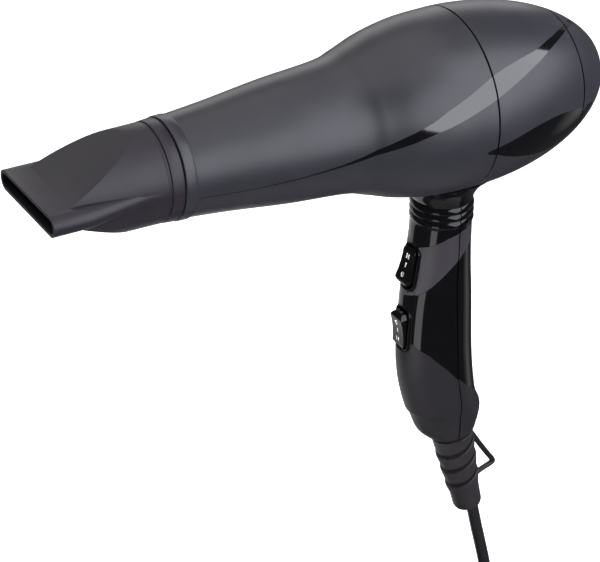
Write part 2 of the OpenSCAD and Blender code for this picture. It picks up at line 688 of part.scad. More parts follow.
module racetrack(r) union() {
    for (s = [-1, 1]) translate([0, s * hank_side / 2]) circle(r = r);
    square([2 * r, hank_side], center = true);
}

module cord_hank() color("#121214") translate(hank_at) rotate([90, 0, 0])
    linear_extrude(hank_layers * cord_d, center = true) difference() {
        racetrack(hank_outer + cord_d / 2);
        racetrack(hank_inner - cord_d / 2);
    }

module cord_tail() color("#121214") sweep(smooth(tail_route, 1), cord_d / 2, 10);

module hank_tie() color("#3a3a40") translate(hank_at + [0, 0, -6]) {
    w = 2 * hank_outer + cord_d + 0.2;
    t = hank_layers * cord_d + 0.2;
    difference() {
        cube([w + 2.8, t + 2.8, 15], center = true);
        cube([w, t, 16], center = true);
    }
}

module plug_outline(w, t) {
    square([w - t, t], center = true);
    for (s = [-1, 1]) translate([s * (w - t) / 2, 0]) circle(d = t, $fn = 40);
}

module plug_body() color("#141416") translate(plug_at) difference() {
    union() {
        hull() {
            translate([0, 0, -plug_neck_len - plug_len]) linear_extrude(9) plug_outline(plug_w, plug_t);
            translate([0, 0, -plug_neck_len - 1]) linear_extrude(1) plug_outline(15, 13);
        }
        translate([0, 0, -plug_neck_len - 1]) cylinder(r1 = 6, r2 = 4.6, h = plug_neck_len + 1);
    }
    for (z = [-18, -12, -6]) tube_cut(z);
    for (s = [-1, 1]) translate([s * pin_pitch / 2, 0, -plug_neck_len - plug_len - 1]) cylinder(r = pin_r - 0.3, h = pin_in + 1);
}

module tube_cut(z) translate([0, 0, z]) difference() {
    cylinder(r = 8, h = 1.6);
    translate([0, 0, -1]) cylinder(r = 4, h = 4);
}

module plug_pins() color("#c4c7cb") translate(plug_at) for (s = [-1, 1])
    translate([s * pin_pitch / 2, 0, -plug_neck_len - plug_len - pin_len]) {
        translate([0, 0, 1]) cylinder(r = pin_r, h = pin_len - 1);
        translate([0, 0, 1]) cylinder(r = pin_r - 0.3, h = pin_len + pin_in - 1);
        cylinder(r1 = pin_r - 0.8, r2 = pin_r, h = 1);
    }

nozzle();
outlet_grille();
front_housing();
rear_housing();
rear_filter_cap();
filter_mesh();
fan();
motor_shaft();
armature();
motor_can();
motor_end_cap();
field_magnets();
motor_bearings();
carbon_brushes();
motor_damper();
fan_duct();
mica_sleeve();
mica_cards();
heater_coil();
thermostat();
thermal_fuse();
handle_front();
handle_back();
upper_rocker();
lower_rocker();
upper_switch_body();
lower_switch_body();
switch_terminals();
suppression_capacitor();
inner_leads();
cord_clamp();
strain_relief();
cord_entry();
housing_screws();
duct_screws();
motor_screws();
handle_screws();
neck_screws();
clamp_screws();
cord_tube();
cord_hank();
cord_tail();
hank_tie();
plug_body();
plug_pins();
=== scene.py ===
import json
import math
import bmesh
import bpy
from mathutils import Matrix, Vector


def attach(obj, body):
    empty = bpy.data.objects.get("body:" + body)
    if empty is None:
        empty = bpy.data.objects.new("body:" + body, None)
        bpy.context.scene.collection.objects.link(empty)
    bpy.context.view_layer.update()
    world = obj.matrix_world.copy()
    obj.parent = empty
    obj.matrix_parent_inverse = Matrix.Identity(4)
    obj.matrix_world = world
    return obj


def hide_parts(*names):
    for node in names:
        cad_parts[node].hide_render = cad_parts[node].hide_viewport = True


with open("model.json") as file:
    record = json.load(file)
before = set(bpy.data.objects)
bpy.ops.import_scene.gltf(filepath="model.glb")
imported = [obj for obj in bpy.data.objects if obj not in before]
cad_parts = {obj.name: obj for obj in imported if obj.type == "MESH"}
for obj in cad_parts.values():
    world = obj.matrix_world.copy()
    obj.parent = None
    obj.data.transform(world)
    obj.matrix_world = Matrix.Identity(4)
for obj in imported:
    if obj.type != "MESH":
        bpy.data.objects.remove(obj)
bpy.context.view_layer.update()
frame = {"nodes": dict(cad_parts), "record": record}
scene = bpy.context.scene
scene.view_settings.view_transform = "Standard"
MM = 0.001
AXIS = 120.0  # height of the barrel axis, mm

# ---- camera ----


def make_camera():
    """Camera at the photograph's place, found by a separate program's fit to the dryer's outline."""
    data = bpy.data.cameras.new("camera")
    data.lens, data.sensor_width = 130.05, 36
    data.clip_start, data.clip_end = 0.05, 60
    cam = bpy.data.objects.new("camera", data)
    back = Vector((-0.42556, -0.75147, 0.50417)).normalized()
    right = Vector((0.87015, -0.49279, 0)).normalized()
    turn = Matrix((right, back.cross(right), back)).transposed().to_4x4()
    cam.matrix_world = Matrix.Translation((-0.51464, -0.76850, 0.55852)) @ turn
    scene.collection.objects.link(cam)
    scene.camera = cam


make_camera()

# ---- mains lead ----

CORD_D = 6.5
HANK_X, HANK_R = 8.3, 27  # middle of the hank, and half the distance between its outer runs
LEAD_IN = [(24.7, 0, -121.5), (26.6, 0, -129.6), (29, 0, -140), (31.5, -0.5, -151), (33.4, -1.9, -162),
           (34.7, -3.8, -173), (35.2, -5.4, -184), (35.3, -6.3, -194)]
LEAD_TAIL = [(-12.2, -13.1, -270), (-12.2, -14.5, -257), (-12.2, -14.8, -243), (-12.2, -14.4, -229),
             (-12.2, -13.6, -216), (-11.7, -13.3, -206), (-9.4, -13.2, -195.5), (-4, -13.2, -187.5),
             (3, -13.2, -184), (8.3, -13.2, -183.3), (15, -13.2, -184.4), (22, -13.4, -188.6),
             (27, -14, -196), (28, -15.2, -206), (26, -17.2, -217), (22.4, -20, -227.5),
             (19.6, -22.4, -237), (18.5, -23.4, -247)]


def ease(t):
    """Smooth step from 0 to 1."""
    return t * t * (3 - 2 * t)


def hank_points():
    """Six runs down the +X side; runs shift one place at a time on the way up the -X side."""
    cx, top, bottom = HANK_X, -204.0, -270.0
    near, far = HANK_R - CORD_D, HANK_R
    runs = [(far, -CORD_D), (far, 0), (far, CORD_D), (near, CORD_D), (near, 0), (near, -CORD_D)]
    after = runs[1:] + [(near, -13.1)]
    out = []
    for i, ((r, y), (r2, y2)) in enumerate(zip(runs, after)):
        out += [(cx + r, y, top + (bottom - top) * k / 4) for k in range(4)]
        sideways = r2 != r
        early = i >= 3
        for k in range(7):
            a = math.pi * k / 6
            s = ease(max(0, (k - 3) / 3)) if early else 0
            out.append((cx + r * math.cos(a), y + (y2 - y) * s, bottom - r * math.sin(a)))
        if i == 5:
            out.pop()
            break
        for k in range(1, 7):
            z = bottom + (top - bottom) * k / 6
            s = ease(min(1, k / 3)) if sideways else (1 if early else ease(max(0, (k - 3) / 3)))
            out.append((cx - r + (r - r2) * s, y + (y2 - y) * s, z))
        over = [math.pi * k / 6 for k in range(1, 6)]
        out += [(cx - r2 * math.cos(a), y2, top + r2 * math.sin(a)) for a in over]
    return out


def make_curve(name, points, radius, res=4, cyclic=False):
    """Round rod of the given radius along smooth points, all in millimetres."""
    data = bpy.data.curves.new(name, "CURVE")
    data.dimensions = "3D"
    data.bevel_depth, data.bevel_resolution = radius * MM, 5
    data.resolution_u, data.use_fill_caps = res, True
    line = data.splines.new("BEZIER")
    line.bezier_points.add(len(points) - 1)
    line.use_cyclic_u = cyclic
    for b, p in zip(line.bezier_points, points):
        b.co = Vector(p) * MM
        b.handle_left_type = b.handle_right_type = "AUTO"
    obj = bpy.data.objects.new(name, data)
    scene.collection.objects.link(obj)
    return obj


lead = make_curve("mains_lead", LEAD_IN + hank_points() + LEAD_TAIL, CORD_D / 2)

# ---- materials ----


def link(nt, a, b):
    nt.links.new(a, b)


def surface(name, color, rough, metallic=0.0, mottle=0.08, grain=0.12, grain_scale=2600, spec=0.5,
            spread=0.05, pattern="NOISE", sheen=0.0):
    """Moulded or drawn surface: slight colour mottle, uneven roughness and a fine grain."""
    mat = bpy.data.materials.new(name)
    mat.use_nodes = True
    nt = mat.node_tree
    bsdf = nt.nodes["Principled BSDF"]
    bsdf.inputs["Metallic"].default_value = metallic
    bsdf.inputs["Specular IOR Level"].default_value = spec
    bsdf.inputs["Sheen Weight"].default_value = sheen
    where = nt.nodes.new("ShaderNodeTexCoord").outputs["Object"]

    def noise(scale, detail):
        n = nt.nodes.new("ShaderNodeTexNoise")
        n.inputs["Scale"].default_value = scale
        n.inputs["Detail"].default_value = detail
        link(nt, where, n.inputs["Vector"])
        return n.outputs["Fac"]

    ramp = nt.nodes.new("ShaderNodeValToRGB")
    for e, k in zip(ramp.color_ramp.elements, (1 - mottle, 1 + mottle)):
        e.color = tuple(min(1, c * k) for c in color) + (1,)
    ramp.color_ramp.elements[0].position, ramp.color_ramp.elements[1].position = 0.3, 0.7
    link(nt, noise(70, 4), ramp.inputs["Fac"])
    link(nt, ramp.outputs["Color"], bsdf.inputs["Base Color"])
    span = nt.nodes.new("ShaderNodeMapRange")
    span.inputs["To Min"].default_value = max(0.02, rough - spread)
    span.inputs["To Max"].default_value = rough + spread
    link(nt, noise(45, 3), span.inputs["Value"])
    link(nt, span.outputs["Result"], bsdf.inputs["Roughness"])
    if pattern == "WEAVE":
        w = nt.nodes.new("ShaderNodeTexWave")
        w.inputs["Scale"].default_value = grain_scale
        w.inputs["Distortion"].default_value = 1.5
        link(nt, where, w.inputs["Vector"])
        height = w.outputs["Fac"]
    else:
        height = noise(grain_scale, 2)
    bump = nt.nodes.new("ShaderNodeBump")
    bump.inputs["Strength"].default_value = grain
    bump.inputs["Distance"].default_value = 0.0001
    link(nt, height, bump.inputs["Height"])
    link(nt, bump.outputs["Normal"], bsdf.inputs["Normal"])
    return mat


LOOKS = {
    "matte_shell": dict(color=(0.034, 0.033, 0.042), rough=0.38, grain=0.25),
    "nozzle_plastic": dict(color=(0.026, 0.021, 0.029), rough=0.42, grain=0.3, spec=0.38),
    "matte_grip": dict(color=(0.018, 0.016, 0.0195), rough=0.46, grain=0.35, spec=0.4),
    # Same grip plastic as matte_grip but lighter: painted light for the upper matte zone, which catches more
    # light than the heel.
    "matte_grip_painted_lit": dict(color=(0.045, 0.041, 0.048), rough=0.46, grain=0.35, spec=0.4),
    "gloss_black": dict(color=(0.0035, 0.0035, 0.0045), rough=0.07, grain=0.02, spread=0.015, spec=0.4),
    "gloss_band": dict(color=(0.002, 0.002, 0.003), rough=0.09, grain=0.02, spread=0.015, spec=0.95),
    "switch_black": dict(color=(0.003, 0.003, 0.0035), rough=0.14, grain=0.1, spec=0.35),
    "mark_white": dict(color=(0.93, 0.93, 0.93), rough=0.4, mottle=0.02),
    "grille_black": dict(color=(0.012, 0.012, 0.013), rough=0.6, grain=0.3),
    "steel_mesh": dict(color=(0.55, 0.56, 0.58), rough=0.3, metallic=1, grain=0.2, pattern="WEAVE"),
    "fan_plastic": dict(color=(0.03, 0.03, 0.034), rough=0.4),
    "duct_plastic": dict(color=(0.68, 0.65, 0.57), rough=0.5),
    "shaft_steel": dict(color=(0.6, 0.61, 0.63), rough=0.2, metallic=1),
    "can_steel": dict(color=(0.5, 0.52, 0.54), rough=0.32, metallic=1),
    "copper_winding": dict(color=(0.62, 0.28, 0.12), rough=0.3, metallic=1, pattern="WEAVE", grain=0.5),
    "magnet": dict(color=(0.12, 0.12, 0.13), rough=0.5, metallic=0.6),
    "bearing_bronze": dict(color=(0.6, 0.45, 0.2), rough=0.35, metallic=1),
    "carbon": dict(color=(0.03, 0.03, 0.03), rough=0.7),
    "damper_rubber": dict(color=(0.02, 0.02, 0.02), rough=0.75),
    "mica": dict(color=(0.52, 0.4, 0.24), rough=0.4, mottle=0.2),
    "heater_wire": dict(color=(0.34, 0.27, 0.22), rough=0.4, metallic=1),
    "white_ceramic": dict(color=(0.75, 0.75, 0.72), rough=0.35),
    "fuse_brass": dict(color=(0.6, 0.48, 0.22), rough=0.3, metallic=1),
    "terminal_brass": dict(color=(0.65, 0.5, 0.25), rough=0.3, metallic=1),
    "capacitor_yellow": dict(color=(0.7, 0.6, 0.1), rough=0.25),
    "lead_red": dict(color=(0.4, 0.08, 0.06), rough=0.45),
    "clamp_plastic": dict(color=(0.06, 0.06, 0.065), rough=0.5),
    "relief_rubber": dict(color=(0.031, 0.027, 0.031), rough=0.48, grain=0.4, spec=0.35),
    "cord_sheath": dict(color=(0.017, 0.015, 0.0175), rough=0.34, grain=0.15, spec=0.35),
    "screw_steel": dict(color=(0.55, 0.56, 0.58), rough=0.3, metallic=1),
    "tie_fabric": dict(color=(0.05, 0.05, 0.055), rough=0.85, grain=0.8, grain_scale=900,
                       pattern="WEAVE", sheen=0.3),
    "plug_plastic": dict(color=(0.014, 0.013, 0.0155), rough=0.42, grain=0.3),
    "pin_nickel": dict(color=(0.7, 0.68, 0.62), rough=0.22, metallic=1),
}
MATERIALS = {name: surface(name, **look) for name, look in LOOKS.items()}

slot_of = {s["node"]: s["material_slot"] for s in frame["record"]["subparts"]}
for node, obj in frame["nodes"].items():
    obj.data.materials.clear()
    obj.data.materials.append(MATERIALS[slot_of[node]])

# ---- mesh helpers ----


def finish_piece(obj, body, slot, mats=None, angle=32, bevel=0, segments=2, nodes=()):
    """Gives a piece its materials (the slot's own when none are listed), shading, edge rounding and body."""
    for m in mats or [slot]:
        obj.data.materials.append(MATERIALS[m])
    if obj.type == "MESH":
        obj.data.shade_smooth()
        obj.data.set_sharp_from_angle(angle=math.radians(angle))
    if bevel:
        mod = obj.modifiers.new("bevel", "BEVEL")
        mod.width, mod.segments = bevel * MM, segments
        mod.limit_method, mod.angle_limit = "ANGLE", math.radians(angle)
        mod.harden_normals = True
    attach(obj, body)
    if nodes:
        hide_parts(*nodes)
    return obj


def mesh(name, verts, faces):
    """Closed or open mesh from points in millimetres."""
    me = bpy.data.meshes.new(name)
    bm = bmesh.new()
    vs = [bm.verts.new(Vector(v) * MM) for v in verts]
    for f in faces:
        bm.faces.new([vs[i] for i in f])
    bmesh.ops.remove_doubles(bm, verts=bm.verts, dist=1e-7)
    bmesh.ops.recalc_face_normals(bm, faces=bm.faces)
    bm.to_mesh(me)
    bm.free()
    obj = bpy.data.objects.new(name, me)
    scene.collection.objects.link(obj)
    return obj


def grid_faces(rows, cols, wrap_rows=False, wrap_cols=False):
    """Quads over a grid of points stored row by row."""
    out = []
    for i in range(rows if wrap_rows else rows - 1):
        for j in range(cols if wrap_cols else cols - 1):
            i2, j2 = (i + 1) % rows, (j + 1) % cols
            out.append((i * cols + j, i * cols + j2, i2 * cols + j2, i2 * cols + j))
    return out


def lathe(name, loop, segs=192, place=None):
    """Turns a closed loop of (distance along the axis, radius) about the axis."""
    place = place or (lambda s, r, a: (s, r * math.cos(a), AXIS + r * math.sin(a)))
    verts = [place(s, r, 2 * math.pi * j / segs) for s, r in loop for j in range(segs)]
    return mesh(name, verts, grid_faces(len(loop), segs, True, True))


def prism(name, outline, lo, hi, place):
    """Extrudes a flat outline (u, v) from lo to hi; place turns (u, v, w) into a point."""
    n = len(outline)
    verts = [place(u, v, w) for w in (lo, hi) for u, v in outline]
    faces = [tuple(range(n)), tuple(range(2 * n - 1, n - 1, -1))]
    faces += [(i, (i + 1) % n, n + (i + 1) % n, n + i) for i in range(n)]
    return mesh(name, verts, faces)


def carve(obj, tool, how="DIFFERENCE"):
    """Boolean of obj with tool, applied; tool is removed."""
    mod = obj.modifiers.new("carve", "BOOLEAN")
    mod.operation, mod.solver, mod.object = how, "EXACT", tool
    bpy.context.view_layer.update()
    done = bpy.data.meshes.new_from_object(obj.evaluated_get(bpy.context.evaluated_depsgraph_get()))
    obj.modifiers.clear()
    obj.data = done
    bpy.data.objects.remove(tool)
    return obj


def spline(k, steps):
    """Catmull-Rom points through a list of tuples."""
    out = []
    for i in range(len(k) - 1):
        a, b, c, d = k[max(i - 1, 0)], k[i], k[i + 1], k[min(i + 2, len(k) - 1)]
        for s in range(steps):
            t = s / steps
            out.append(tuple(0.5 * (2 * q + (r - p) * t + (2 * p - 5 * q + 4 * r - w) * t * t
                                    + (3 * q - p - 3 * r + w) * t ** 3) for p, q, r, w in zip(a, b, c, d)))
    return out + [tuple(k[-1])]


def between(x, table, col=1):
    """Value at x of a table sorted by its first column."""
    if x <= table[0][0]:
        return table[0][col]
    for p, q in zip(table, table[1:]):
        if x <= q[0]:
            return p[col] + (q[col] - p[col]) * (x - p[0]) / (q[0] - p[0])
    return table[-1][col]


def rounded(w, h, r, n=8):
    """Rounded rectangle outline, centred."""
    out = []
    x, y = w / 2 - r, h / 2 - r
    for cx, cy, a0 in ((x, y, 0), (-x, y, 90), (-x, -y, 180), (x, -y, 270)):
        for k in range(n + 1):
            a = math.radians(a0 + 90 * k / n)
            out.append((cx + r * math.cos(a), cy + r * math.sin(a)))
    return out


# ---- body ----

BODY_R, DOME, BARREL = 43.7, 83.5, 149.0  # radius at the seam, length from_mouth it and in front of it
WALL = 2.2
FRONT_END, REAR_START, REAR_END, CAP_START = -0.15, 0.7, 54.9, 55.7  # edges of the two seams
# Radius in parts of BODY_R, from the mouth (0) to the seam (1), read off the same fit as the camera
SHAPE = spline([(0, 0.526), (0.17, 0.58), (0.37, 0.662), (0.57, 0.722), (0.65, 0.795), (0.75, 0.905),
                (0.87, 0.98), (1, 1)], 12)
SKIN = [(BARREL * (s - 1), BODY_R * r) for s, r in SHAPE]


def body_radius(x):
    """Outer radius of the body at x: a spline in front of the seam, an ellipse from_mouth it."""
    return between(x, SKIN) if x <= 0 else BODY_R * math.sqrt(max(0, 1 - (x / DOME) ** 2))


def steps(a, b, n):
    return [a + (b - a) * i / n for i in range(n + 1)]


front_out = [p for p in SKIN if p[0] > -142]
spigot = [(-159, 19.3), (-159, 20.9), (-158.7, 21.2), (-149, 21.2)]
mouth_rim = [(-149, 23.4), (-148.6, 23.9), (-144.2, 24.0), (-143.6, 23.7), (-143.4, 23.45)]
lap = [(FRONT_END, BODY_R), (FRONT_END, 42.4), (4, 42.4), (4, 41.5)]
front = lathe("front_shell", spigot + mouth_rim + [p for p in front_out if p[0] < -0.2] + lap
              + [(x, r - WALL) for x, r in reversed(front_out)] + [(-145, 20.9), (-147, 19.3)])
finish_piece(front, "dryer", "matte_shell", bevel=0.18, nodes=["front_housing"])

cap_seat = [(REAR_END, 29.6), (52.9, 29.6), (52.9, 25.6), (50.9, 25.6)]
rear = lathe("rear_shell", [(x, body_radius(x)) for x in steps(REAR_START, REAR_END, 40)] + cap_seat
             + [(x, body_radius(x) - WALL) for x in steps(50.9, 5.4, 30)] + [(4.6, 42.6), (REAR_START, 42.6)])
finish_piece(rear, "dryer", "matte_shell", bevel=0.18, nodes=["rear_housing"])

# Gloss bands and lenses: upper and lower edge as (x, angle up from the side).
# A separate program traced most of these points from the photograph, and they were then smoothed by
# hand. They aren't worked out from the driving dimensions.
BAND_TOP = spline([(-144, -13.6), (-129, -14.8), (-114, -14.3), (-95.4, -11), (-76, -6.6), (-65.5, -2.6),
                   (-56.3, 3), (-43.9, 10), (-33.1, 15.9), (-25.4, 21), (-15.4, 26.3), (-6.4, 31.2),
                   (0, 34.9), (9, 38.7), (19.6, 42.2), (29, 45.6), (37.3, 50.7), (45.6, 56.6), (55, 66),
                   (64, 79)], 4)
BAND_LOW = spline([(-144, -14.3), (-129, -15.5), (-114, -15), (-95.4, -11.9), (-76, -8.2), (-65.4, -5.8),
                   (-58.4, -2.6), (-45.4, 2.6), (-38.2, 5.8), (-31.1, 8.6), (-20.5, 12.3), (-8.8, 17.2),
                   (0, 21.2), (11.9, 27.6), (22.3, 33.7), (31.2, 39.5), (40.6, 46.9), (49.1, 54.4),
                   (57, 63.5), (64, 73)], 4)
LENS_TOP = spline([(-4.9, -12), (0.6, -10.2), (10.3, -7.2), (23.8, -3), (39, -2.1), (54.4, -7),
                   (65, -12.4)], 6)
LENS_LOW = spline([(-4.9, -13.4), (1.2, -16.2), (13.2, -22.9), (29.6, -30.2), (40.1, -32.5), (50, -31),
                   (57.2, -24), (65, -15.4)], 6)


def strip(name, top, low, x0, x1, side, body, nx):
    """Thin gloss inlay on the body between two edges, on one side of it."""
    na, proud, sunk = 10, 0.14, -0.5
    verts = []
    for level in (proud, sunk):
        for x in steps(x0, x1, nx):
            a0, a1 = between(x, low), between(x, top)
            for a in steps(a0, a1, na):
                t, r = math.radians(a), body_radius(x) + level
                verts.append((x, side * r * math.cos(t), AXIS + r * math.sin(t)))
    cols, rows = na + 1, nx + 1
    n = cols * rows
    faces = grid_faces(rows, cols)
    faces += [tuple(n + i for i in reversed(f)) for f in faces]
    rim = list(range(cols))
    rim += [i * cols + cols - 1 for i in range(1, rows)]
    rim += [(rows - 1) * cols + j for j in range(cols - 2, -1, -1)]
    rim += [i * cols for i in range(rows - 2, 0, -1)]
    faces += [(a, b, n + b, n + a) for a, b in zip(rim, rim[1:] + rim[:1])]
    return finish_piece(mesh(name, verts, faces), body, "gloss_black", ["gloss_band"], angle=40)


ON_FRONT, ON_REAR, ON_CAP = FRONT_END - 0.02, (REAR_START + 0.02, REAR_END - 0.02), CAP_START + 0.02
for side, word in ((-1, "near"), (1, "far")):
    strip(f"band_front_{word}", BAND_TOP, BAND_LOW, -142, ON_FRONT, side, "dryer", 90)
    strip(f"band_rear_{word}", BAND_TOP, BAND_LOW, *ON_REAR, side, "dryer", 44)
    strip(f"band_cap_{word}", BAND_TOP, BAND_LOW, ON_CAP, 63.4, side, "rear_cap", 8)
    strip(f"lens_front_{word}", LENS_TOP, LENS_LOW, -4.8, ON_FRONT, side, "dryer", 6)
    strip(f"lens_rear_{word}", LENS_TOP, LENS_LOW, *ON_REAR, side, "dryer", 44)
    strip(f"lens_cap_{word}", LENS_TOP, LENS_LOW, ON_CAP, 64.6, side, "rear_cap", 10)

# ---- nozzle ----

NOZZLE_LEN, SLOT_W, SLOT_H = 64.6, 58.0, 9.8  # length in front of the barrel's mouth, and the slot
NOZZLE_WALL = 1.6


def at_nozzle(x, y, z):
    """Point in the nozzle's own frame, which starts at the barrel's mouth."""
    return (x - BARREL, y, AXIS + z)


def stadium(w, h, n=20):
    """Flat outline with two round ends, centred."""
    out = []
    for s, a0 in ((1, -90), (-1, 90)):
        for k in range(n + 1):
            a = math.radians(a0 + 180 * k / n)
            out.append((s * (w - h) / 2 + h / 2 * math.cos(a), h / 2 * math.sin(a)))
    return out


def loft(name, rings):
    """Closed solid through rings with equal numbers of points."""
    n = len(rings[0])
    faces = grid_faces(len(rings), n, False, True)
    faces += [tuple(range(n)), tuple(len(rings) * n - 1 - i for i in range(n))]
    return mesh(name, [p for ring in rings for p in ring], faces)


def nozzle_solid(inset, front):
    """Flat slot duct with tapering side fins, joined to a cone planed off above and below."""
    rings = []
    for x, w, h in ((front, SLOT_W, SLOT_H), (-NOZZLE_LEN + 18, SLOT_W, SLOT_H), (-14, 44, 5 + inset)):
        rings.append([at_nozzle(x, y, z) for y, z in stadium(w - 2 * inset, h - 2 * inset)])
    duct = loft("duct", rings)
    segs = 160
    turn = [2 * math.pi * j / segs for j in range(segs)]
    cone = loft("cone", [[at_nozzle(x, r * math.cos(a), r * math.sin(a)) for a in turn]
                         for x, r in ((-NOZZLE_LEN + 8, 22.3 - inset), (-8, 22.9 - inset))])
    hf, hb = SLOT_H / 2 - 1 - inset, 30.7 - inset
    planes = [(8.6 - NOZZLE_LEN, hf), (0, hb), (0, -hb), (8.6 - NOZZLE_LEN, -hf)]
    wedge = prism("wedge", planes, -40, 40, lambda u, v, w: at_nozzle(u, w, v))
    carve(cone, wedge, "INTERSECT")
    return carve(cone, duct, "UNION")


def from_mouth(points):
    """Moves (distance, radius) points from the nozzle's own frame to the body's."""
    return [(x - BARREL, r) for x, r in points]


nozzle = nozzle_solid(0, -NOZZLE_LEN)
collar = lathe("collar", from_mouth([(-12, 10), (-12, 22.3), (-7.4, 22.95), (-7, 22.5), (-6.3, 22.5),
                                 (-5.9, 23.1), (-1, 23.5), (-0.4, 23.2), (-0.4, 10)]))
carve(nozzle, collar, "UNION")
carve(nozzle, nozzle_solid(NOZZLE_WALL, -NOZZLE_LEN - 1))
carve(nozzle, lathe("bore", from_mouth([(-10.6, 0.01), (-10.6, 21.26), (1, 21.26), (1, 0.01)])))
nozzle.name = "nozzle_shell"
finish_piece(nozzle, "nozzle", "nozzle_plastic", bevel=0.35, nodes=["nozzle"])

# ---- grip ----

# Sections of the grip: height, front, rear, half width, tilt in degrees
GRIP = [(57.4, -16.1, 13.8, 15.4, 0), (46, -16.9, 14, 15.3, 0), (31, -19.2, 14.8, 15.2, 0),
        (15, -21.6, 16.1, 15.2, 0), (-13, -22.9, 17.5, 15.4, 0), (-28, -21.9, 18.6, 15.7, -1),
        (-39, -19.7, 19.9, 15.8, -3), (-48, -17, 21.4, 15.6, -5), (-56, -14, 24.4, 15.1, -8),
        (-62.5, -10.3, 24.4, 14, -11), (-68.5, -3.8, 22.6, 12.6, -13.5)]
NECK_TOP = 68.5  # top of the ribs
NECK_FRONT, NECK_REAR, NECK_HALF = -15.6, 13.7, 15.4
FLARE = [(15, 10.4), (12, 7), (9, 4.3), (6, 2.3), (3, 0.8)]  # height above the neck, and growth
# One neck rib: depth below its top, and how far it stands out
RIB = ((0.05, 0), (0.3, 0.2), (0.8, 0.45), (1.5, 0.68), (2.2, 0.8), (2.8, 0.8), (3.3, 0.62), (3.6, 0.2))
RIB_PITCH = 3.7
# Side seam of the grip shells: height, and x
SEAM = [(-90, 6.6), (-66, 6.4), (-52.6, 4.8), (-50.9, 5.7), (-45.5, 5.4), (-29, 2.7), (25, 0), (100, 0)]


def grip_table():
    """Sections of the grip from the top down: height, front, rear, half width, tilt."""
    grown = FLARE[0][1]
    rows = [(87.5, NECK_FRONT - grown, NECK_REAR + grown, NECK_HALF + grown, 0)]
    rows += [(NECK_TOP + up, NECK_FRONT - out - min(1.3, up / 2.3), NECK_REAR + out, NECK_HALF + out, 0)
             for up, out in spline(FLARE, 3)]
    for i in range(3):
        z = NECK_TOP - RIB_PITCH * i
        for down, out in RIB:
            rows.append((z - down, NECK_FRONT - out, NECK_REAR + out, NECK_HALF + out, 0))
    return rows + spline(GRIP, 8)


GRIP_ROWS = sorted(grip_table())
PLAIN_ROWS = [r for r in GRIP_ROWS if not 57.5 < r[0] < NECK_TOP]
# Zones down the side: angle round from the front, and height of each edge.
# The points between 15 and 131 degrees start from the same tracing; the others were added.
MATTE_TOP = [(0, 44.5), (15, 45.5), (45, 48.6), (67, 52.2), (97, 55.2), (126, 56), (150, 55.4), (180, 54.6)]
MATTE_LOW = [(0, 18.6), (22, 20.6), (36, 22.4), (50, 26.5), (72, 34), (97, 41.3), (126, 46.8), (150, 49.6),
             (180, 51)]
HEEL_TOP = [(0, -4), (22, -5.7), (51, -12.3), (73, -21.4), (89, -29.6), (101, -34.3), (131, -43),
            (155, -46.6), (180, -47.6)]
# Zone 2, the upper matte zone, takes the lighter copy with painted light; zone 4, the heel, takes the plain
# matte grip.
MATTE_LOOK = {2: 2, 4: 1}  # matte zones, counted down from the neck, and their places in GRIP_LOOKS
GRIP_LOOKS = ["gloss_black", "matte_grip", "matte_grip_painted_lit"]
GRIP_FOOT = -68.5
GRIP_WALL = 1.9

# Each switch: x and z of its middle, and its lean in degrees
SWITCHES = [(-18.66, 33.73, 8.5), (-22.1, -0.3, 3)]
WIN_L, WIN_W, WIN_R = 24, 12.8, 4.4  # window length, width and corner


def at_switch(s, u, v, w):
    """Point in a switch's own frame: u inwards, v across, w along."""
    t = math.radians(s[2])
    return (s[0] + u * math.cos(t) + w * math.sin(t), v, s[1] - u * math.sin(t) + w * math.cos(t))


def grip_point(z, phi, out=0.0, table=GRIP_ROWS):
    """Point on the grip at section height z and angle phi from the front towards -Y."""
    f, b, h, tilt = (between(z, table, k) for k in (1, 2, 3, 4))
    u = -((b - f) / 2 + out) * math.cos(phi)
    t = math.radians(tilt)
    return ((f + b) / 2 + u * math.cos(t), -(h + out) * math.sin(phi), z - u * math.sin(t))


def seam_angle(z, shift):
    """Angle round from the front at which the two grip shells meet, moved by shift."""
    f, b = between(z, GRIP_ROWS, 1), between(z, GRIP_ROWS, 2)
    c = ((f + b) / 2 - between(z, SEAM) - shift) / ((b - f) / 2)
    return math.acos(max(-1, min(1, c)))


def grip_heights(phi):
    """Heights down one column, with each zone edge doubled so that its step is crisp."""
    a = math.degrees(phi)
    cut = [57.2, between(a, MATTE_TOP), between(a, MATTE_LOW), between(a, HEEL_TOP), GRIP_FOOT]
    out = [(z, 0) for z in sorted({r[0] for r in GRIP_ROWS if r[0] > 57.5}, reverse=True)]
    for i, (z0, z1) in enumerate(zip(cut, cut[1:])):
        out += [(z, i + 1) for z in steps(z0, z1, (6, 30, 34, 40)[i])]
    return out


def surface_x(y, z):
    """Front face of the grip at (y, z)."""
    f, b, h = (between(z, GRIP_ROWS, k) for k in (1, 2, 3))
    return (f + b) / 2 - (b - f) / 2 * math.sqrt(max(0, 1 - (y / h) ** 2))


def on_grip(s, v, w):
    """Point of the grip's front face at (v, w) of a switch's frame."""
    t = math.radians(s[2])
    u = 0.0
    for _ in range(3):
        z = s[1] - u * math.sin(t) + w * math.cos(t)
        u = (surface_x(v, z) - s[0] - w * math.sin(t)) / math.cos(t)
    return at_switch(s, u, v, w)


def window_edge(w, h, r):
    """Outline of a switch window as closely spaced (along, across) points."""
    line = rounded(w, h, r, 10)
    out = []
    for p, q in zip(line, line[1:] + line[:1]):
        n = max(1, int(math.dist(p, q) / 0.5))
        out += [(p[0] + (q[0] - p[0]) * k / n, p[1] + (q[1] - p[1]) * k / n) for k in range(n)]
    return out


def inside(s, p, w, h, r):
    """Whether point p lies in the rounded window of switch s."""
    t = math.radians(s[2])
    a = abs((p[0] - s[0]) * math.sin(t) + (p[2] - s[1]) * math.cos(t))
    b = abs(p[1])
    if a > w / 2 or b > h / 2:
        return False
    return a < w / 2 - r or b < h / 2 - r or math.hypot(a - w / 2 + r, b - h / 2 + r) < r


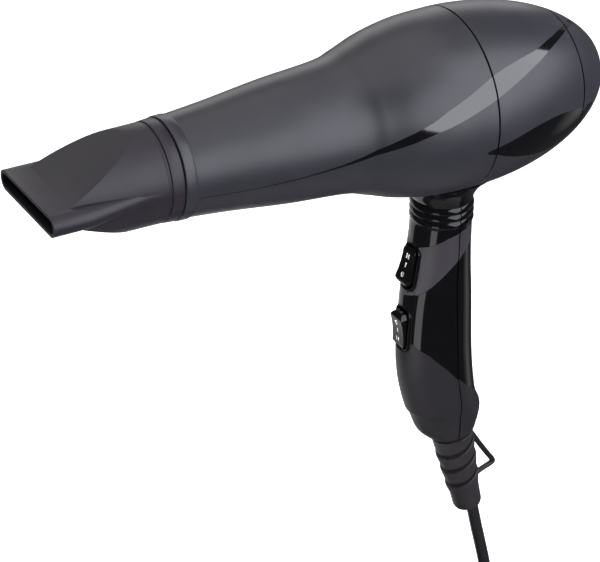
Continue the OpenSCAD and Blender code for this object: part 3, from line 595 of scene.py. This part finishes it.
def heel_ledge(z, phi):
    """Depth of the shallow step across the front of the heel, fading to the sides and the bottom."""
    depth, top, ramp, run_out = 1.1, -50.4, 0.9, 13
    step = min(1, max(0, (top - z) / ramp))
    fade = min(1, max(0, (z - GRIP_FOOT) / run_out))
    return depth * max(0, math.cos(phi)) ** 0.5 * step * fade


def grip_shell(name, rear, windows=()):
    """One grip shell: an outer skin with the switch windows left out, an inner skin and the walls between."""
    cols, half_gap, matte_lift = 97, 0.3, 0.1
    outer, inner, zones = [], [], []
    for j in range(cols):
        t = -1 + 2 * j / (cols - 1)
        heights = grip_heights(math.pi - abs(t) * math.pi / 2 if rear else abs(t) * math.pi / 2)
        zones = [k for _, k in heights]
        for z, zone in heights:
            s = seam_angle(z, half_gap if rear else -half_gap)
            phi = (1 if t >= 0 else -1) * (math.pi - abs(t) * (math.pi - s) if rear else abs(t) * s)
            lift = matte_lift if zone in MATTE_LOOK else 0
            outer.append(grip_point(z, phi, lift - heel_ledge(z, phi)))
            inner.append(grip_point(z, phi, -GRIP_WALL, PLAIN_ROWS))
    rows = len(zones)
    kept, gone, tint = [], [], []
    for j in range(cols - 1):
        for i in range(rows - 1):
            f = (j * rows + i, j * rows + i + 1, (j + 1) * rows + i + 1, (j + 1) * rows + i)
            mid = [sum(outer[k][c] for k in f) / 4 for c in range(3)]
            if any(inside(s, mid, WIN_L, WIN_W, WIN_R) for s in windows):
                gone.append(f)
            else:
                kept.append(f)
                tint.append(MATTE_LOOK.get(zones[i], 0) if zones[i + 1] == zones[i] else 0)
    edge = {k for f in gone for k in f} & {k for f in kept for k in f}
    for k in edge:
        s = min(windows, key=lambda q: abs(q[1] - outer[k][2]))
        t = math.radians(s[2])
        w = (outer[k][0] - s[0]) * math.sin(t) + (outer[k][2] - s[1]) * math.cos(t)
        near = min(window_edge(WIN_L, WIN_W, WIN_R), key=lambda q: math.hypot(q[0] - w, q[1] - outer[k][1]))
        outer[k] = on_grip(s, near[1], near[0])
        inner[k] = (outer[k][0] + GRIP_WALL, outer[k][1], outer[k][2])
    used = {}
    for f in kept:
        for a, b in zip(f, f[1:] + f[:1]):
            used[(a, b)] = used.get((a, b), 0) + 1
    rim = [(a, b) for (a, b) in used if (b, a) not in used]
    n = len(outer)
    me = bpy.data.meshes.new(name)
    bm = bmesh.new()
    vs = [bm.verts.new(Vector(v) * MM) for v in outer + inner]
    for f, k in zip(kept, tint):
        bm.faces.new([vs[i] for i in f]).material_index = k
        bm.faces.new([vs[n + i] for i in reversed(f)])
    for a, b in rim:
        bm.faces.new((vs[b], vs[a], vs[n + a], vs[n + b]))
    bmesh.ops.delete(bm, geom=[v for v in bm.verts if not v.link_faces], context="VERTS")
    bmesh.ops.recalc_face_normals(bm, faces=bm.faces)
    bm.to_mesh(me)
    bm.free()
    obj = bpy.data.objects.new(name, me)
    scene.collection.objects.link(obj)
    return obj


grip_front = grip_shell("grip_front", False, SWITCHES)
finish_piece(grip_front, "dryer", "gloss_black", GRIP_LOOKS, nodes=["handle_front"])
grip_rear = grip_shell("grip_rear", True)
finish_piece(grip_rear, "dryer", "gloss_black", GRIP_LOOKS, nodes=["handle_back"])

for s, word in zip(SWITCHES, ("upper", "lower")):
    edge = [on_grip(s, v, w) for w, v in rounded(WIN_L + 0.2, WIN_W + 0.2, WIN_R, 6)]
    finish_piece(make_curve(f"{word}_window_rim", edge, 0.26, 3, True), "dryer", "gloss_black")

# ---- rockers ----


def rocker_mark(kind, w, place):
    """Raised mark on a rocker's face at w along it: bars for I and II, a ring for 0."""
    face = -2.0 - 0.7 * (abs(w) / 7.7) ** 1.3
    top, foot = face - 0.09, face + 0.6
    half_bar, half_stroke, apart, ring_out, ring_in = 1.25, 0.42, 0.85, 1.35, 0.65
    if kind == "0":
        turn = [2 * math.pi * k / 24 for k in range(24)]
        rings = [[place(u, r * 0.8 * math.cos(a), w + r * math.sin(a)) for a in turn]
                 for u, r in ((foot, ring_out), (top, ring_out), (top, ring_in), (foot, ring_in))]
        return [mesh("zero", [p for ring in rings for p in ring], grid_faces(4, len(turn), True, True))]
    out = []
    for v in {"I": [0], "II": [-apart, apart]}[kind]:
        corners = ((-1, -1), (1, -1), (1, 1), (-1, 1))
        box = [(w + i * half_bar, v + j * half_stroke) for i, j in corners]
        out.append(prism("bar", box, top, foot, lambda a, b, c: place(c, b, a)))
    return out


def rocker(name, s, turn, body):
    """Rocker pressed at one end, tilted by turn degrees about its pivot."""
    half, width, pivot = 10.5, 10.2, 3.0

    def place(u, v, w):
        c, d = math.cos(math.radians(turn)), math.sin(math.radians(turn))
        du = u - pivot
        return at_switch(s, pivot + du * c + w * d, v, -du * d + w * c)

    face = [(-2.7, half - 2.8), (-2.18, 4), (-2.0, 0), (-2.18, -4), (-2.7, 2.8 - half)]
    end = [(-2.55, 2.2 - half), (-1.9, 1.3 - half), (-0.7, 0.5 - half), (0.6, -half), (1.4, -half), (5.2, -6)]
    side = face + end + [(u, -w) for u, w in reversed(end)]
    obj = prism(name, side, -width / 2, width / 2, lambda u, w, v: place(u, v, w))
    ends = prism("ends", rounded(2 * half, width, 4), -6, 8, lambda w, v, u: place(u, v, w))
    carve(obj, ends, "INTERSECT")
    finish_piece(obj, body, "switch_black", bevel=0.5, segments=3, nodes=[name.replace("_key", "")])
    kinds = ("II", "I", "0") if turn > 0 else ("0", "I", "II")
    marks = [m for w, kind in zip((4.9, 0.2, -4.9), kinds) for m in rocker_mark(kind, w, place)]
    for k, m in enumerate(marks):
        m.name = f"{name}_mark_{k}"
        finish_piece(m, body, "switch_black", ["mark_white"])


def switch_frame(name, s, node):
    """Switch body: its rim follows the window, with the rocker's pocket sunk in it."""

    def place(w, v, u):
        return at_switch(s, u, v, w)

    obj = prism(name, rounded(WIN_L - 0.3, WIN_W - 0.3, WIN_R - 0.15), 0.1, 15.4, place)
    carve(obj, prism("pocket", rounded(WIN_L - 1.6, 11.2, WIN_R - 0.8), -1, 8.2, place))
    finish_piece(obj, "dryer", "switch_black", bevel=0.25, nodes=[node])


switch_frame("upper_switch_frame", SWITCHES[0], "upper_switch_body")
switch_frame("lower_switch_frame", SWITCHES[1], "lower_switch_body")
rocker("upper_rocker_key", SWITCHES[0], 9, "upper_rocker")
rocker("lower_rocker_key", SWITCHES[1], -9, "lower_rocker")

# ---- strain relief ----

RELIEF_TOP, LEAN = Vector((10.4, 0, -71.5)), math.radians(-13.5)
RELIEF_LEN = 52
RINGS = ((8.6, 10.6, 10.2), (18.8, 9.9, 9.5), (30.2, 9.1, 8.7))  # each groove: depth, radius above and below


def in_relief(x, y, s):
    """Point in the strain relief's own frame: s up along it and x to the rear."""
    c, d = math.cos(LEAN), math.sin(LEAN)
    return (RELIEF_TOP.x + x * c + s * d, y, RELIEF_TOP.z - x * d + s * c)


def relief_loop():
    """Outline of the relief, (distance along, radius), from its held flange down to its tip."""
    out = [(7, 6.6), (7, 6.9), (6.4, 10.4), (3.5, 10.4), (3.5, 8), (0, 8)]
    out += [(-0.2, 8.4), (-0.2, 10.8), (-0.5, 11.2)]
    for s, r0, r1 in RINGS:
        out += [(-s + 3.4, r0 + 0.1), (-s + 1.7, r0 - 0.2), (-s + 1, r0 - 0.9), (-s + 0.8, r1 - 2.4)]
        out += [(-s - 0.8, r1 - 2.5), (-s - 0.9, r1), (-s - 1.4, r1 + 0.5), (-s - 2.3, r1 + 0.6)]
    out += [(-40, 8.0), (-49.6, 7.7), (-51, 7.2), (-51.8, 6.3)]
    return out + [(-RELIEF_LEN, 5.7), (-RELIEF_LEN, 0.02), (7, 0.02)]


def ringed(s, r, a):
    """The grooves lie on a slant: higher at the rear than at the front."""
    slant = 0.32 * min(1, max(0, (-s - 1.5) / 5)) * min(1, max(0, (46 + s) / 10))
    x = r * math.cos(a)
    return in_relief(x, r * math.sin(a), s + slant * x)


def relief_bore(radius=3.3, offset=2.2):
    """Hole for the lead, off the relief's axis towards the rear."""
    turn = [2 * math.pi * k / 40 for k in range(40)]
    return loft("bore", [[in_relief(offset + radius * math.cos(a), radius * math.sin(a), s) for a in turn]
                         for s in (-RELIEF_LEN - 2, 9)])


relief = carve(lathe("relief_sleeve", relief_loop(), 96, ringed), relief_bore())
finish_piece(relief, "dryer", "relief_rubber", bevel=0.2, nodes=["strain_relief"])
HOOK = [(18.4, 0, -70.6), (24, 0, -79.4), (30, 0, -88.8), (35, 0, -96.2), (36.9, 0, -99), (37.3, 0, -100.4),
        (36.2, 0, -101.2), (32, 0, -102.6), (25, 0, -105.2), (20, 0, -107)]
finish_piece(make_curve("hang_loop", HOOK, 1.45, 6), "dryer", "relief_rubber", ["cord_sheath"])

# ---- lead, strap and plug ----

finish_piece(lead, "dryer", "cord_sheath", nodes=["cord_tube", "cord_hank", "cord_tail"])
STRAP_W, STRAP_T = 2 * HANK_R + CORD_D + 0.2, 3 * CORD_D + 0.2  # inside of the strap
STRAP_Z = -243
PLUG = (18.5, -23.4, -247)  # where the lead enters the plug
PIN_PITCH, PIN_R = 19, 2.4


def strap_ring(dz, out):
    """Outline of the strap, dz above its middle and out from its inside."""
    return [(HANK_X + x, y, STRAP_Z + dz) for x, y in rounded(STRAP_W + 2 * out, STRAP_T + 2 * out, 3 + out)]


strap_rings = [strap_ring(dz, out) for dz, out in ((-7.5, 0.1), (-7.2, 1.3), (7.2, 1.3), (7.5, 0.1))]
strap = mesh("hank_strap", [p for ring in strap_rings for p in ring],
             grid_faces(4, len(strap_rings[0]), True, True))
finish_piece(strap, "dryer", "tie_fabric", bevel=0.2, nodes=["hank_tie"])


def plug_ring(z, w, t):
    """Section of the plug, z above the place where the lead enters."""
    return [(PLUG[0] + x, PLUG[1] + y, PLUG[2] + z) for x, y in stadium(w, t, 24)]


plug_rows = [(0, 9.2, 9.1), (-3, 9.6, 9.5)]
for z in (-4, -10, -16):
    plug_rows += [(z, 9.9 - z * 0.1, 9.8 - z * 0.1), (z - 0.5, 8.4, 8.2), (z - 2.2, 8.4, 8.2),
                  (z - 2.7, 10.2 - z * 0.1, 10 - z * 0.1)]
plug_rows += [(-22, 13.5, 12.4), (-27, 17.5, 14.8), (-33, 24, 18.5), (-39, 30, 22), (-45, 34, 24.6),
              (-49, 35.6, 25.8), (-56.6, 36, 26), (-57.6, 35.4, 25.4), (-58, 34, 24)]
plug = loft("plug_shell", [plug_ring(*row) for row in plug_rows])
for side in (-1, 1):

    def at_pin(d, r, a):
        return (PLUG[0] + side * PIN_PITCH / 2 + r * math.cos(a), PLUG[1] + r * math.sin(a), PLUG[2] + d)

    carve(plug, lathe("pin_hole", [(-53, 0.01), (-53, PIN_R), (-59, PIN_R), (-59, 0.01)], 32, at_pin))
finish_piece(plug, "dryer", "plug_plastic", bevel=0.15, nodes=["plug_body"])

# ---- floor, lights, world ----

FLOOR_Z, ROOM = -332, 6000  # the floor, and how far the pale room reaches
CORNERS = ((-1, -1), (1, -1), (1, 1), (-1, 1))
floor = mesh("floor", [(x * ROOM, y * ROOM, z) for z in (FLOOR_Z, ROOM) for x, y in CORNERS],
             [(0, 1, 2, 3), (0, 1, 5, 4), (1, 2, 6, 5), (2, 3, 7, 6), (3, 0, 4, 7)])
pale = surface("floor_pale", (0.8, 0.8, 0.8), 0.9, mottle=0.01, grain=0.0, spec=0.0)
pale_bsdf = pale.node_tree.nodes["Principled BSDF"]
pale_bsdf.inputs["Emission Color"].default_value = (1, 1, 1, 1)
pale_bsdf.inputs["Emission Strength"].default_value = 1.0
floor.data.materials.append(pale)
floor.visible_glossy = False
floor.visible_diffuse = False


def toward(az, el, far, start):
    """Point far metres from start, at an angle round from -Y towards +X and an angle up."""
    a, e = math.radians(az), math.radians(el)
    return Vector(start) + far * Vector((math.sin(a) * math.cos(e), -math.cos(a) * math.cos(e), math.sin(e)))


def area(name, place, aim, size, power, along=(0, 0, 1), tint=(1, 1, 1), spread=180):
    """Area light facing `aim`, its long side lying along `along`."""
    data = bpy.data.lights.new(name, "AREA")
    data.shape, data.size, data.size_y, data.energy = "RECTANGLE", size[0], size[1], power
    data.color, data.spread = tint, math.radians(spread)
    back = (Vector(place) - Vector(aim)).normalized()
    side = Vector(along).cross(back).normalized()
    obj = bpy.data.objects.new(name, data)
    turn = Matrix((back.cross(side), -side, back)).transposed().to_4x4()
    obj.matrix_world = Matrix.Translation(place) @ turn
    obj.visible_camera = False
    scene.collection.objects.link(obj)
    return obj


BODY, GRIP_MIDDLE, HANDLE = (0, 0, AXIS * MM), (0, 0, 0), (0, 0, -0.01)
low, high = toward(0, -2, 1.2, BODY), toward(72, 42, 1.2, BODY)
area("slanted_box", (low + high) / 2, BODY, ((high - low).length, 1.0), 16.8, high - low, (0.91, 0.93, 1))
area("handle_strip", toward(-57, -21, 0.46, GRIP_MIDDLE), HANDLE, (0.22, 0.17), 0.26)
area("handle_side", toward(88, -30, 0.44, GRIP_MIDDLE), HANDLE, (0.26, 0.3), 0.0026, spread=30)
mark_fill = area("mark_fill", toward(-80, -15, 0.7, GRIP_MIDDLE), (-0.02, 0, 0.015), (0.15, 0.15), 0.13,
                 spread=28)
mark_fill.visible_glossy = False
area("overhead", (-0.2, 0.22, 1.7), (0, 0.1, 0), (2, 2.3), 17, (1, 0, 0))
area("back_wall", toward(168, 17, 1.4, BODY), BODY, (2, 0.6), 6, (1, 0, 0))
area("floor_glow", (-0.1, 0.5, -0.31), BODY, (0.6, 0.7), 1, (1, 0, 0))
area("floor_near", (-0.05, -0.12, -0.315), BODY, (0.6, 0.34), 0.14, (1, 0, 0))
area("cap_side", toward(116, 14, 1.2, BODY), BODY, (0.5, 0.35), 0.1)

world = bpy.data.worlds.new("world")
world.use_nodes = True
world.node_tree.nodes["Background"].inputs["Color"].default_value = (0.97, 0.98, 1, 1)
world.node_tree.nodes["Background"].inputs["Strength"].default_value = 0.06
scene.world = world
